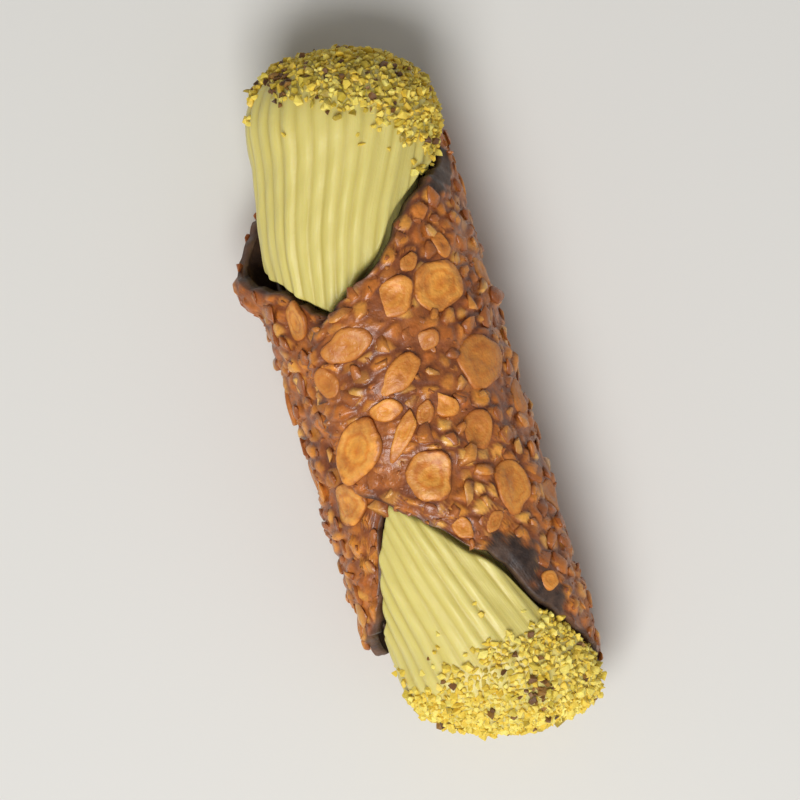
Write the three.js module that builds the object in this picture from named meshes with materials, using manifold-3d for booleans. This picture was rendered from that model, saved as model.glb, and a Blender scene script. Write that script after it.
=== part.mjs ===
// A crunchy nut-brittle cannolo, lined with dark chocolate and filled with ridged pistachio cream
// whose two ends are dipped in pistachio grain. It lies on its side with the seam of the roll up.
// Units are millimetres. +Y runs along the roll, +Z is up, and the origin is on the table, under
// the middle of the whole.
//
// The brittle starts as a flat sheet that is much longer along its middle than at its two flaps,
// so each mouth of the roll is a V that is deepest at the seam. A place on the sheet is
// (wrap, along): wrap is the distance round the roll, zero opposite the seam and positive towards
// the outer flap, and along is the place on the roll's axis. In the roll's own frame the seam is
// at +Z, and turn is the angle from the seam, positive towards +X.

import * as THREE from "three";
import { mergeVertices } from "three/addons/utils/BufferGeometryUtils.js";
import Module from "manifold-3d";

const wasm = await Module();
wasm.setup();

// The roll
const ROLL_RADIUS = 12.3; // to the middle of the brittle's wall
const BRITTLE = 2.2; // thickness of the wall
const LIP_THICKNESS = 1.3; // of the sheet at its outline
const STAND_OFF = 0.9; // the left side stands out this much from a true circle
const FLAT_DEPTH = 0.35; // how far the roll has sat itself flat
const SEAM_TURN = THREE.MathUtils.degToRad(28); // the seam is rolled this far to the left
const HALF_TURN = Math.PI * ROLL_RADIUS; // wrap at the seam
const UNDERSIDE = -ROLL_RADIUS * SEAM_TURN; // wrap that touches the table
const AXIS_HEIGHT = ROLL_RADIUS + BRITTLE / 2 + STAND_OFF / 2 - FLAT_DEPTH;
const AXIS_SIDE = 1.287; // from the origin to the axis of the roll, as a corner sticks out left
const AXIS_ALONG = -0.151;

// The sheet before it is rolled. Each lip is a list of wrap and reach, the distance along the
// roll from its middle to the edge. The far mouth is at +Y and the near one at -Y.
const LIPS = {
  far: {
    sign: 1,
    wave: 0.4,
    outline: [
      [-43, 10],
      [-HALF_TURN, 12.2],
      [-35.4, 14.5],
      [-31.5, 17],
      [-26.5, 20.3],
      [-21.5, 25],
      [-14, 30],
      [-6, 34.8],
      [2, 36.6],
      [8, 34.4],
      [13.3, 30.8],
      [16.5, 28.4],
      [25.3, 22.9],
      [33.4, 15.8],
      [HALF_TURN, 12.2],
      [43, 10],
    ],
  },
  near: {
    sign: -1,
    wave: 2.1,
    outline: [
      [-43, 8],
      [-HALF_TURN, 10.6],
      [-36, 14.8],
      [-33.4, 20.6],
      [-31.5, 24.6],
      [-29.5, 26.4],
      [-24, 28.4],
      [-12, 34.6],
      [-2, 38],
      [6, 38.8],
      [14.4, 36.4],
      [22.2, 29.4],
      [30.6, 18.8],
      [HALF_TURN, 10.6],
      [43, 8],
    ],
  },
};
const LIP_WAVE = 0.5; // how far a lip's edge wanders
const FLAP_END = 41.6; // wrap at the long edge of a flap
const FLAP_CORNER = 1.8; // how much less that is at a flap's corners
const SHEET_COLUMNS = 36;
const SHEET_ROWS = 22;

// The flaps: the outer one is lifted and the inner one pressed down, so that they pass
const FLAP_GAP = 0.35;
const FLAP_LIFT = 0.6 * (BRITTLE + FLAP_GAP);
const FLAP_DIP = 0.4 * (BRITTLE + FLAP_GAP);
const LIFT_FROM = 26; // wrap where a flap starts to lift or dip
const LIFT_TO = 34; // and where it is done
const STRAY_CORNER = { wrap: -25, along: 20, spread: 5, height: 2.4 }; // a lip bent outwards

// Relief of the brittle
const CRAG = 0.34; // height of its broad lumps
const GRIT = 0.3; // height of its rough grain
const SLICE_THICKNESS = 1.7; // of a nut slice, most of it sunk in the caramel
const SLICE_PROUD = 0.45; // how far its face stands out
const SLICE_SIDES = 9;
const MORE_SLICES = 24; // besides the ones listed below
const SLICE_TRIES = 400;

// Nut slices on the side that shows: across and along are seen from above, from the middle of
// the roll, long and wide are the slice's size and spin turns its long side from across.
const SHOWN_SLICES = [
  { across: 7.7, along: 12.4, long: 6.6, wide: 5.8, spin: 0 },
  { across: 2.0, along: 12.5, long: 5.8, wide: 3.8, spin: 34 },
  { across: -4.2, along: 8.6, long: 6.2, wide: 3.6, spin: 6 },
  { across: 0.3, along: 3.4, long: 6.0, wide: 3.0, spin: 34 },
  { across: 10.0, along: 2.0, long: 7.0, wide: 6.0, spin: 14 },
  { across: -6.3, along: -4.0, long: 8.2, wide: 5.1, spin: 44 },
  { across: 0.2, along: -9.4, long: 5.8, wide: 5.4, spin: 73 },
  { across: 7.2, along: -5.8, long: 4.6, wide: 3.7, spin: 78 },
  { across: 9.2, along: -13.7, long: 6.0, wide: 4.9, spin: 98 },
  { across: -10.9, along: -10.2, long: 6.0, wide: 4.8, spin: 20 },
  { across: -10.5, along: 13.2, long: 4.4, wide: 3.6, spin: 70 },
];

// The chocolate inside the roll
const LINING = 0.8;
const LINING_GAP = 0.18; // to the brittle and to the cream
const LINING_SHORT = 0.7; // how far it stops inside the lip
const LINING_COLUMNS = 36;

// The cream: it fills the roll, swells over the lips and ends in a blunt dome at each mouth
const CREAM_RADIUS = 12.6; // where it lies open at the top
const CREAM_SAG = 1.6; // less than that at the underside, past the lower lip
const SWELL = 1.1; // length over which it comes up past a lip
const LIP_CLEARANCE = 0.55; // between a lip and the cream
const SHOULDER = 33.6; // where the dome begins at the top
const SHOULDER_PAST_LIP = 1.9; // and at the least so far past the lip
const TIP = { far: 44, near: 43.2 }; // end of the cream, before the grain
const DOME_BLUNTNESS = 2.2;
const SKEW = { far: -0.13, near: 0.2 }; // the domes lean: this much of the distance across
const ASIDE = { far: 1.6, near: 0.4, from: 20, to: 35 }; // the open cream shifts right of the roll's axis
const LEFT_BULGE = { height: 0.6, from: 22, to: 34 }; // and bulges on the left, past the V
const RIDGES = 32;
const RIDGE_DEPTH = 0.5;
const FAN = { from: 12, to: 43, twist: THREE.MathUtils.degToRad(40), gather: 0.4 }; // of the ridges
const BARREL_ROWS = 5;
const DOME_ROWS = 5;

// The pistachio grain: it covers a dome from a slanting line to the tip
const GRAIN_LINE = { far: { at: 33.9, slant: -0.5 }, near: { at: 32.9, slant: -0.3 } };
const GRAIN_PER_END = 36;
const GRAIN_TRIES = 1500;
const GRAIN_RADIUS = [0.85, 1.25];
const GRAIN_SPACING = 2.3;
const GRAIN_SUNK = 0.25; // of its radius

const { smoothstep, clamp, lerp, degToRad } = THREE.MathUtils;
const RIGHT = new THREE.Vector3(Math.cos(SEAM_TURN), 0, -Math.sin(SEAM_TURN)); // in the roll's frame

// The same numbers on every run, from 0 to 1
function seededRandom(seed) {
  let state = seed;
  return () => {
    state = (Math.imul(state, 1664525) + 1013904223) >>> 0;
    return state / 2 ** 32;
  };
}

// A number from -1 to 1 that belongs to a place
function grit(x, y) {
  const wave = Math.sin(x * 12.9898 + y * 78.233) * 43758.5453;
  return 2 * (wave - Math.floor(wave)) - 1;
}

// Moves each vertex of a three.js geometry to where shape(vertex) says
function reshape(geometry, shape) {
  const position = geometry.getAttribute("position");
  const vertex = new THREE.Vector3();
  for (let i = 0; i < position.count; i++) {
    shape(vertex.fromBufferAttribute(position, i));
    position.setXYZ(i, vertex.x, vertex.y, vertex.z);
  }
  return geometry;
}

function toSolid(geometry) {
  const bare = geometry.clone();
  bare.deleteAttribute("normal");
  bare.deleteAttribute("uv");
  const merged = mergeVertices(bare, 1e-4);
  return new wasm.Manifold(
    new wasm.Mesh({
      numProp: 3,
      vertProperties: merged.getAttribute("position").array,
      triVerts: new Uint32Array(merged.index.array),
    }),
  );
}

function toMesh(name, solid, material) {
  const { vertProperties, triVerts } = solid.getMesh();
  const geometry = new THREE.BufferGeometry();
  geometry.setAttribute("position", new THREE.BufferAttribute(vertProperties, 3));
  geometry.setIndex(new THREE.BufferAttribute(triVerts, 1));
  const mesh = new THREE.Mesh(geometry, material);
  mesh.name = name;
  return mesh;
}

for (const lip of Object.values(LIPS)) {
  const wraps = lip.outline.map(([wrap]) => wrap);
  const reaches = lip.outline.map(([, reach]) => reach);
  lip.curve = new THREE.CubicInterpolant(wraps, reaches, 1);
}

// How far along the roll the sheet reaches at a wrap. The edge wanders, but not where flaps cross.
function lipReach(wrap, lip) {
  const fade = 1 - smoothstep(Math.abs(wrap), 28, 36);
  const wander = Math.sin(0.55 * wrap + lip.wave) + 0.6 * Math.sin(0.93 * wrap + 2 * lip.wave);
  return lip.curve.evaluate(wrap)[0] + LIP_WAVE * fade * wander;
}

// How far the brittle's wall stands out from a true cylinder
function flapRise(wrap) {
  return FLAP_LIFT * smoothstep(wrap, LIFT_FROM, LIFT_TO) - FLAP_DIP * smoothstep(-wrap, LIFT_FROM, LIFT_TO);
}

function standOff(turn) {
  return STAND_OFF * (0.5 - 0.5 * Math.sin(turn - SEAM_TURN));
}

function cornerRise(wrap, along) {
  const { spread, height } = STRAY_CORNER;
  const away = Math.hypot(wrap - STRAY_CORNER.wrap, along - STRAY_CORNER.along) / spread;
  return height * Math.exp(-away * away);
}

// Lumps of chopped nut under the caramel, pressed flat between the flaps and under the roll
function relief(wrap, along) {
  const lumps =
    Math.sin(0.95 * wrap + 1.6 * Math.sin(0.37 * along)) + Math.sin(0.83 * along - 1.4 * Math.sin(0.41 * wrap));
  const uncovered = 1 - smoothstep(-wrap, 32.8, 35);
  const offTable = 1 - 0.85 * Math.exp(-(((wrap - UNDERSIDE) / 4) ** 2));
  return uncovered * offTable * (0.5 * CRAG * lumps + GRIT * grit(wrap, along));
}

// A point of the roll: height is measured outwards from the middle of the wall
function rolled(wrap, along, height, target = new THREE.Vector3()) {
  const turn = Math.PI - wrap / ROLL_RADIUS;
  const radius = ROLL_RADIUS + height + standOff(turn) + flapRise(wrap) + cornerRise(wrap, along);
  return target.set(radius * Math.sin(turn), along, radius * Math.cos(turn));
}

// A flat slab whose sides are the flaps' long edges and whose ends are the lips, rolled up.
// The slab's upper side becomes the inside of the roll.
function brittleSheet() {
  const slab = new THREE.BoxGeometry(2, 2, 1, SHEET_COLUMNS, SHEET_ROWS, 1);
  return reshape(slab, (vertex) => {
    const lip = vertex.y > 0 ? LIPS.far : LIPS.near;
    const wrap = vertex.x * (FLAP_END - FLAP_CORNER * vertex.y ** 6);
    const along = vertex.y * lipReach(wrap, lip);
    const atEdge = Math.max(Math.abs(vertex.x), Math.abs(vertex.y)) > 0.999;
    const thickness = atEdge ? LIP_THICKNESS : BRITTLE;
    const height = vertex.z > 0 ? -thickness / 2 : thickness / 2 + relief(wrap, along);
    rolled(wrap, along, height, vertex);
  });
}

// Where a slice seen from above lies on the sheet
function seenFromAbove({ across, along }) {
  const turn = Math.asin(across / (ROLL_RADIUS + BRITTLE / 2)) + SEAM_TURN;
  const onOuterFlap = ROLL_RADIUS * (Math.PI - turn) < FLAP_END;
  const wrap = onOuterFlap ? ROLL_RADIUS * (Math.PI - turn) : -ROLL_RADIUS * (Math.PI + turn);
  return { wrap, along };
}

// All nut slices: the listed ones, then more by a seeded draw wherever there is room
function nutSlices() {
  const random = seededRandom(7);
  const slices = SHOWN_SLICES.map((slice) => ({ ...slice, ...seenFromAbove(slice) }));
  for (let i = 0; i < SLICE_TRIES && slices.length < SHOWN_SLICES.length + MORE_SLICES; i++) {
    const wrap = lerp(-31, FLAP_END - 4, random());
    const share = 2 * random() - 1;
    const lip = share > 0 ? LIPS.far : LIPS.near;
    const long = lerp(3.6, 6.4, random());
    const slice = {
      wrap,
      along: share * (lipReach(wrap, lip) - 4),
      long,
      wide: long * lerp(0.6, 0.95, random()),
      spin: 180 * random(),
    };
    const roomy = slices.every(
      (other) =>
        Math.hypot(other.wrap - slice.wrap, other.along - slice.along) > 0.62 * (other.long + slice.long),
    );
    if (roomy) slices.push(slice);
  }
  return slices;
}

// The place and stance of something that lies on the roll's outside
function stanceAt(wrap, along, height, spin) {
  const origin = rolled(wrap, along, height);
  const outward = rolled(wrap, along, height + 1).sub(origin);
  const onward = rolled(wrap, along + 1, height).sub(origin).normalize();
  const sideways = new THREE.Vector3().crossVectors(outward, onward).normalize();
  const upright = new THREE.Vector3().crossVectors(onward, sideways);
  return new THREE.Matrix4()
    .makeBasis(sideways, upright, onward)
    .setPosition(origin)
    .multiply(new THREE.Matrix4().makeRotationY(degToRad(spin)));
}

function nutSlice({ wrap, along, long, wide, spin }) {
  const slice = new THREE.CylinderGeometry(0.43, 0.5, SLICE_THICKNESS, SLICE_SIDES);
  slice.scale(long, 1, wide);
  const height = BRITTLE / 2 + SLICE_PROUD - SLICE_THICKNESS / 2;
  return toSolid(slice.applyMatrix4(stanceAt(wrap, along, height, spin)));
}

// Everything below the table, in the roll's frame
function table() {
  const block = new THREE.BoxGeometry(200, 200, 20);
  block.translate(0, 0, -10 - AXIS_HEIGHT);
  block.rotateY(SEAM_TURN);
  return toSolid(block);
}

function makeBrittle() {
  let brittle = toSolid(brittleSheet());
  for (const slice of nutSlices()) brittle = brittle.add(nutSlice(slice));
  return brittle.subtract(table());
}

// A turn brought to between -pi and pi
function wound(turn) {
  return Math.atan2(Math.sin(turn), Math.cos(turn));
}

// The edge of what the two flaps cover together, at a turn from the seam
function coverReach(turn, lip) {
  const wrap = ROLL_RADIUS * (Math.PI - Math.abs(wound(turn)));
  return lipReach(wound(turn) < 0 ? -wrap : wrap, lip);
}

// Radius of the innermost brittle, which steps in under the seam
function innerFace(anyTurn) {
  const turn = wound(anyTurn);
  const inward = smoothstep(turn, -1.02, -0.36) * (1 - smoothstep(turn, 0.42, 0.8));
  return ROLL_RADIUS - BRITTLE / 2 + standOff(turn) - FLAP_DIP * inward;
}

// Turn from the seam, from -pi to pi, of a lathed vertex
function turnOf(vertex) {
  return Math.atan2(vertex.x, vertex.z);
}

// A lathed ring whose profile corners stand for outer or inner face and far or near mouth
function makeLining() {
  const rows = 6;
  const outside = Array.from({ length: rows + 1 }, (_, i) => new THREE.Vector2(2, (2 * i) / rows - 1));
  const inside = outside.map(({ y }) => new THREE.Vector2(1, y)).reverse();
  const profile = [...outside, ...inside, outside[0]];
  const ring = new THREE.LatheGeometry(profile, LINING_COLUMNS);
  return toSolid(
    reshape(ring, (vertex) => {
      const turn = turnOf(vertex);
      const outer = Math.hypot(vertex.x, vertex.z) > 1.5;
      const lip = vertex.y > 0 ? LIPS.far : LIPS.near;
      const radius = innerFace(turn) - LINING_GAP - (outer ? 0 : LINING);
      const along = vertex.y * (coverReach(turn, lip) - LINING_SHORT);
      vertex.set(radius * Math.sin(turn), along, radius * Math.cos(turn));
    }),
  );
}

// How open the cream lies to the top: 1 at the top seen from above, 0 at the underside
function openness(turn) {
  return 0.5 + 0.5 * Math.cos(turn - SEAM_TURN);
}

function creamRadius(turn) {
  return CREAM_RADIUS - CREAM_SAG * (1 - openness(turn)) ** 1.5;
}

// How much more the cream stands out on its left, near the V of the lip
function leftBulge(turn, along) {
  const leftness = Math.max(0, -Math.sin(turn - SEAM_TURN));
  return LEFT_BULGE.height * leftness * (1 - smoothstep(along, LEFT_BULGE.from, LEFT_BULGE.to));
}

function shoulderOf(turn, lip) {
  return Math.max(SHOULDER, coverReach(turn, lip) + SHOULDER_PAST_LIP);
}

// The rows of cream from the middle of the roll to one tip. Each row is a rule that gives the
// radius and the place along the roll at a turn. Ridges follow the nozzle on the open rows.
function creamRows(end) {
  const lip = LIPS[end];
  const tucked = (turn) => innerFace(turn) - 2 * LINING_GAP - LINING;
  const lipEdge = (turn) => coverReach(turn, lip) + LIP_CLEARANCE;
  const rows = [
    (turn) => ({ radius: tucked(turn), along: 0.45 * lipEdge(turn), ridge: 0 }),
    (turn) => ({ radius: tucked(turn), along: lipEdge(turn), ridge: 0 }),
  ];
  for (let i = 0; i < BARREL_ROWS; i++) {
    const share = i / (BARREL_ROWS - 1);
    rows.push((turn) => {
      const along = lerp(lipEdge(turn) + SWELL * openness(turn) + 0.2, shoulderOf(turn, lip), share);
      const radius = lerp(0.97, 1, share) * creamRadius(turn) + leftBulge(turn, along);
      return { radius, along, ridge: 1 };
    });
  }
  for (let i = 1; i < DOME_ROWS; i++) {
    const lean = (0.5 * Math.PI * i) / DOME_ROWS;
    const power = 2 / DOME_BLUNTNESS;
    rows.push((turn) => ({
      radius: creamRadius(turn) * Math.cos(lean) ** power,
      along: lerp(shoulderOf(turn, lip), TIP[end], Math.sin(lean) ** power),
      ridge: Math.cos(lean),
    }));
  }
  rows.push(() => ({ radius: 0, along: TIP[end], ridge: 0 }));
  return rows;
}

// Crests stand on even columns and grooves on odd ones
function ridgeDrop(turn) {
  return RIDGE_DEPTH * (0.5 - 0.5 * Math.cos(RIDGES * turn));
}

// Where a ridge that leaves the seam's side of the nozzle at a turn has got to at a place along:
// the ridges gather at the V of the lip and fan out from it, bending to the right
function fanned(turn, along) {
  const share = clamp((along - FAN.from) / (FAN.to - FAN.from), 0, 1);
  return turn - FAN.gather * (1 - share) * Math.sin(turn) + FAN.twist * share;
}

// A point of the cream on a row and on a ridge, leaning with its dome
function creamPoint(end, row, ridgeTurn, target = new THREE.Vector3()) {
  let turn = ridgeTurn;
  for (let i = 0; i < 4; i++) turn = fanned(ridgeTurn, row(turn).along);
  const { radius, along, ridge } = row(turn);
  const lip = LIPS[end];
  const bare = radius - ridge * ridgeDrop(ridgeTurn);
  const open = ridge > 0 || radius === 0;
  const aside = open ? ASIDE[end] * smoothstep(along, ASIDE.from, ASIDE.to) : 0;
  const across = bare * Math.sin(turn - SEAM_TURN);
  const fromLip = clamp((along - coverReach(turn, lip) - 2) / (TIP[end] - coverReach(turn, lip)), 0, 1);
  const leaning = along + SKEW[end] * across * fromLip;
  target.set(bare * Math.sin(turn), lip.sign * leaning, bare * Math.cos(turn));
  return target.addScaledVector(RIGHT, aside);
}

// The whole plug of cream is one lathe, whose profile points carry a row number each
function creamPlug() {
  const near = creamRows("near").map((row) => ({ end: "near", row })).reverse();
  const far = creamRows("far").map((row) => ({ end: "far", row }));
  const rows = [...near, ...far];
  const last = rows.length - 1;
  const profile = rows.map((_, i) => new THREE.Vector2(i === 0 || i === last ? 0 : 1, i));
  const lathe = new THREE.LatheGeometry(profile, 2 * RIDGES);
  return reshape(lathe, (vertex) => {
    const { end, row } = rows[Math.round(vertex.y)];
    creamPoint(end, row, turnOf(vertex), vertex);
  });
}

// Places for the grain of one end, spread by a seeded draw past the slanting line
function grainPlaces(end, random) {
  const rows = creamRows(end).slice(2);
  const line = GRAIN_LINE[end];
  const places = [];
  for (let i = 0; i < GRAIN_TRIES && places.length < GRAIN_PER_END; i++) {
    const turn = Math.PI * (2 * random() - 1);
    const row = rows[Math.floor(random() ** 0.7 * rows.length)];
    const place = creamPoint(end, row, turn);
    const across = place.dot(RIGHT);
    const lineHere = Math.max(line.at + line.slant * across, coverReach(turn, LIPS[end]) + 2.6);
    const roomy = places.every((other) => other.distanceTo(place) > GRAIN_SPACING);
    if (roomy && Math.abs(place.y) > lineHere) places.push(place);
  }
  return places;
}

function grain(place, random) {
  const radius = lerp(...GRAIN_RADIUS, random());
  const crumb = new THREE.IcosahedronGeometry(radius, 0);
  crumb.scale(1, lerp(0.7, 1, random()), lerp(0.75, 1.1, random()));
  crumb.rotateX(Math.PI * random());
  crumb.rotateZ(Math.PI * random());
  const centre = new THREE.Vector3(0, Math.sign(place.y) * SHOULDER, 0);
  const outward = place.clone().sub(centre).normalize();
  crumb.translate(...place.clone().addScaledVector(outward, (0.5 - GRAIN_SUNK) * radius));
  return toSolid(crumb);
}

function makeCream() {
  const random = seededRandom(31);
  let cream = toSolid(creamPlug());
  for (const end of ["far", "near"]) {
    for (const place of grainPlaces(end, random)) cream = cream.add(grain(place, random));
  }
  return cream;
}

const brittleMaterial = new THREE.MeshStandardMaterial({ color: 0xa8642d, roughness: 0.4 });
const chocolateMaterial = new THREE.MeshStandardMaterial({ color: 0x3b2a24, roughness: 0.45 });
const creamMaterial = new THREE.MeshStandardMaterial({ color: 0xe2d582, roughness: 0.5 });

const roll = new THREE.Group();
roll.position.set(AXIS_SIDE, AXIS_ALONG, AXIS_HEIGHT);
roll.rotation.y = -SEAM_TURN;
roll.add(toMesh("nut_brittle", makeBrittle(), brittleMaterial));
roll.add(toMesh("chocolate_lining", makeLining(), chocolateMaterial));
roll.add(toMesh("pistachio_cream", makeCream(), creamMaterial));

const cannolo = new THREE.Group();
cannolo.add(roll);

export default cannolo;
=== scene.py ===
# %% [markdown]
# # A cannolo in nut brittle, filled with pistachio cream
#
# The real one is a sheet of caramel and nuts, rolled while hot, lined with dark chocolate, piped full
# of pistachio cream and dipped at both ends in chopped pistachio. This lesson dresses its plain solids
# piece by piece: the brittle sheet, its nut slices and chips, the chocolate, the cream, the grain.
#
# Blender works in metres and the values below are millimetres, so MM turns one into the other.

import math
import random

import bmesh
import bpy
import numpy as np
from mathutils import Matrix, Vector


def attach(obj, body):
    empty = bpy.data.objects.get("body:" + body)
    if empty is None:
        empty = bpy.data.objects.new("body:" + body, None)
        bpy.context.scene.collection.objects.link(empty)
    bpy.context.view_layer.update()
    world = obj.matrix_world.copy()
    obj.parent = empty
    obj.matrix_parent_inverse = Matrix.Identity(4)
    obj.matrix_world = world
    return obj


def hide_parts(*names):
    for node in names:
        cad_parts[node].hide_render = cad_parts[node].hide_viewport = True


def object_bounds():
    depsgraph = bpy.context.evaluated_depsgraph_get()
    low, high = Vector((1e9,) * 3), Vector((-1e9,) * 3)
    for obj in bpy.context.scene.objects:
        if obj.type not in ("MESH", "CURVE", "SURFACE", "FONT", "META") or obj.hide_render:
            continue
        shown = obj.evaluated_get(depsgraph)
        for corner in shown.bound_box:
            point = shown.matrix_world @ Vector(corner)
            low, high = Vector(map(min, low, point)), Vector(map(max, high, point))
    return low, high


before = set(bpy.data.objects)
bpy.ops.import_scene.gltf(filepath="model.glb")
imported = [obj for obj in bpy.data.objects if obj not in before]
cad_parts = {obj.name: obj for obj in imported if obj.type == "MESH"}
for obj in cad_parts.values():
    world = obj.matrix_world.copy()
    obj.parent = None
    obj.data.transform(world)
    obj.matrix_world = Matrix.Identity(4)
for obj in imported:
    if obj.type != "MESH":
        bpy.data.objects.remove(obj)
cad_box = [list(corner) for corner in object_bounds()]
MM = 0.001
print("solids:", sorted(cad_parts), "box:", cad_box)

# %% [markdown]
# ## Camera, floor and light
#
# The photograph looks straight down, and the roll leans 17 degrees in it, with its far end to the
# left. A long lens from 0.6 m keeps the sides parallel, as they are there. A wide soft light stands
# above and towards the near end, which is the brighter one there, and a pale world fills the shadows.

# %% Camera
LEAN = math.radians(17)
image_up = Vector((math.sin(LEAN), math.cos(LEAN), 0))
image_right = Vector((math.cos(LEAN), -math.sin(LEAN), 0))
middle = (Vector(cad_box[0]) + Vector(cad_box[1])) / 2

towards_camera = Vector((0, 0, 1))
towards_camera += image_right * math.tan(math.radians(2.6)) + image_up * math.tan(math.radians(2.0))
towards_camera.normalize()

camera = bpy.data.objects.new("camera", bpy.data.cameras.new("camera"))
bpy.context.scene.collection.objects.link(camera)
camera.data.lens = 218
camera.data.clip_start = 0.01
side = image_up.cross(towards_camera).normalized()
upright = towards_camera.cross(side)
turned = Matrix((side, upright, towards_camera)).transposed().to_4x4()
camera.matrix_world = Matrix.Translation(middle + towards_camera * 0.6) @ turned
bpy.context.scene.camera = camera
print("camera at", [round(v, 3) for v in camera.location])


# %% Helpers for materials and lights
def node(tree, kind, values=None, **settings):
    """Adds a shader node: values fill or link its inputs, settings are its own options."""
    made = tree.nodes.new("ShaderNode" + kind)
    for key, value in settings.items():
        setattr(made, key, value)
    for socket, value in (values or {}).items():
        if isinstance(value, bpy.types.NodeSocket):
            tree.links.new(value, made.inputs[socket])
        else:
            made.inputs[socket].default_value = value
    return made


def tone(red, green, blue):
    """A colour as it is read off a screen, 0 to 255, in Blender's linear light."""
    shares = [value / 255 for value in (red, green, blue)]
    linear = [s / 12.92 if s <= 0.04045 else ((s + 0.055) / 1.055) ** 2.4 for s in shares]
    return (*linear, 1)


def blank_material(name):
    material = bpy.data.materials.new(name)
    material.use_nodes = True
    shader = material.node_tree.nodes["Principled BSDF"]
    return material, material.node_tree, shader


def soft_light(name, direction, distance, size, watts):
    light = bpy.data.lights.new(name, "AREA")
    light.size = size
    light.energy = watts
    holder = bpy.data.objects.new(name, light)
    holder.location = middle + direction.normalized() * distance
    holder.rotation_euler = direction.to_track_quat("Z", "Y").to_euler()
    bpy.context.scene.collection.objects.link(holder)


# %% Lights and world
up = Vector((0, 0, 1))
soft_light("key", up * 1.0 - image_right * 0.08 - image_up * 0.48, 0.7, 0.36, 4.3)
soft_light("fill", up * 1.0 + image_right * 0.9 - image_up * 0.5, 0.9, 0.6, 0.4)

world = bpy.data.worlds.new("studio")
world.use_nodes = True
world.node_tree.nodes["Background"].inputs["Color"].default_value = (1.0, 1.0, 1.0, 1)
world.node_tree.nodes["Background"].inputs["Strength"].default_value = 0.24
bpy.context.scene.world = world
bpy.context.scene.view_settings.view_transform = "Standard"
print("lights:", [light.name for light in bpy.data.lights])

# %% Floor
floor_bm = bmesh.new()
bmesh.ops.create_grid(floor_bm, x_segments=1, y_segments=1, size=1.5)
floor_mesh = bpy.data.meshes.new("floor")
floor_bm.to_mesh(floor_mesh)
floor = bpy.data.objects.new("floor", floor_mesh)
bpy.context.scene.collection.objects.link(floor)
floor_material, tree, shader = blank_material("pale_table")
shader.inputs["Base Color"].default_value = tone(222, 220, 215)
shader.inputs["Roughness"].default_value = 0.7
floor_mesh.materials.append(floor_material)
print("floor, mm across:", round(floor.dimensions.x / MM))

# %% [markdown]
# ## The shape of the roll
#
# The brittle is one sheet, much longer along its middle than at its two flaps, so each mouth of the
# roll is a V that is deepest at the seam. A place on the sheet is (wrap, along): wrap is the distance
# round the roll, zero opposite the seam and positive towards the outer flap, and along is the place on
# the roll's axis. These are the solid's own numbers, so every piece fits it. numpy works on all
# vertices of a piece at once, which keeps the script quick.

# %% The roll's numbers
ROLL_RADIUS = 12.3
BRITTLE = 2.2
LIP_THICKNESS = 1.3
STAND_OFF = 0.9
FLAT_DEPTH = 0.35
SEAM_TURN = math.radians(28)
HALF_TURN = math.pi * ROLL_RADIUS
UNDERSIDE = -ROLL_RADIUS * SEAM_TURN
AXIS_HEIGHT = ROLL_RADIUS + BRITTLE / 2 + STAND_OFF / 2 - FLAT_DEPTH
AXIS_SIDE = 1.287
AXIS_ALONG = -0.151
print("the roll's axis lies at height", round(AXIS_HEIGHT, 2), "mm")

# %% The lips and the flaps
LIPS = {
    "far": {
        "sign": 1,
        "wave": 0.4,
        "wraps": [-43, -HALF_TURN, -35.4, -31.5, -26.5, -21.5, -14, -6, 2, 8, 13.3, 16.5, 25.3, 33.4]
        + [HALF_TURN, 43],
        "reaches": [10, 12.2, 14.5, 17, 20.3, 25, 30, 34.8, 36.6, 34.4, 30.8, 28.4, 22.9, 15.8]
        + [12.2, 10],
    },
    "near": {
        "sign": -1,
        "wave": 2.1,
        "wraps": [-43, -HALF_TURN, -36, -33.4, -31.5, -29.5, -24, -12, -2, 6, 14.4, 22.2, 30.6]
        + [HALF_TURN, 43],
        "reaches": [8, 10.6, 14.8, 20.6, 24.6, 26.4, 28.4, 34.6, 38, 38.8, 36.4, 29.4, 18.8]
        + [10.6, 8],
    },
}
LIP_WAVE = 0.5
FLAP_END = 41.6
FLAP_CORNER = 1.8

FLAP_GAP = 0.35
FLAP_LIFT = 0.6 * (BRITTLE + FLAP_GAP)
FLAP_DIP = 0.4 * (BRITTLE + FLAP_GAP)
LIFT_FROM, LIFT_TO = 26, 34
CORNER_WRAP, CORNER_ALONG, CORNER_SPREAD, CORNER_HEIGHT = -25, 20, 5, 2.4


# %% The roll's rules
def smoothstep(value, low, high):
    share = np.clip((value - low) / (high - low), 0, 1)
    return share * share * (3 - 2 * share)


def blend(low, high, share):
    return low + (high - low) * share


def through_points(places, values, at):
    """Height of the smooth curve through a list of points, for many places at once."""
    places, values = np.array(places, float), np.array(values, float)
    last = len(places) - 1
    after = np.clip(np.searchsorted(places, at, side="right"), 1, last)
    before = after - 1
    previous = np.where(before > 0, before - 1, after)
    following = np.where(after < last, after + 1, before)
    half = 0.5 * (places[after] - places[before])
    weight_previous = half / (places[before] - places[previous])
    weight_following = half / (places[following] - places[after])
    share = np.clip((at - places[before]) / (2 * half), 0, 1)
    square, cube = share**2, share**3
    return (
        weight_previous * (2 * square - cube - share) * values[previous]
        + ((1 + weight_previous) * cube - (1.5 + 2 * weight_previous) * square) * values[before]
        + ((weight_previous - 0.5) * share + 1) * values[before]
        + ((1.5 + weight_following) * square - (1 + weight_following) * cube) * values[after]
        + 0.5 * share * values[after]
        + weight_following * (cube - square) * values[following]
    )


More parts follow.
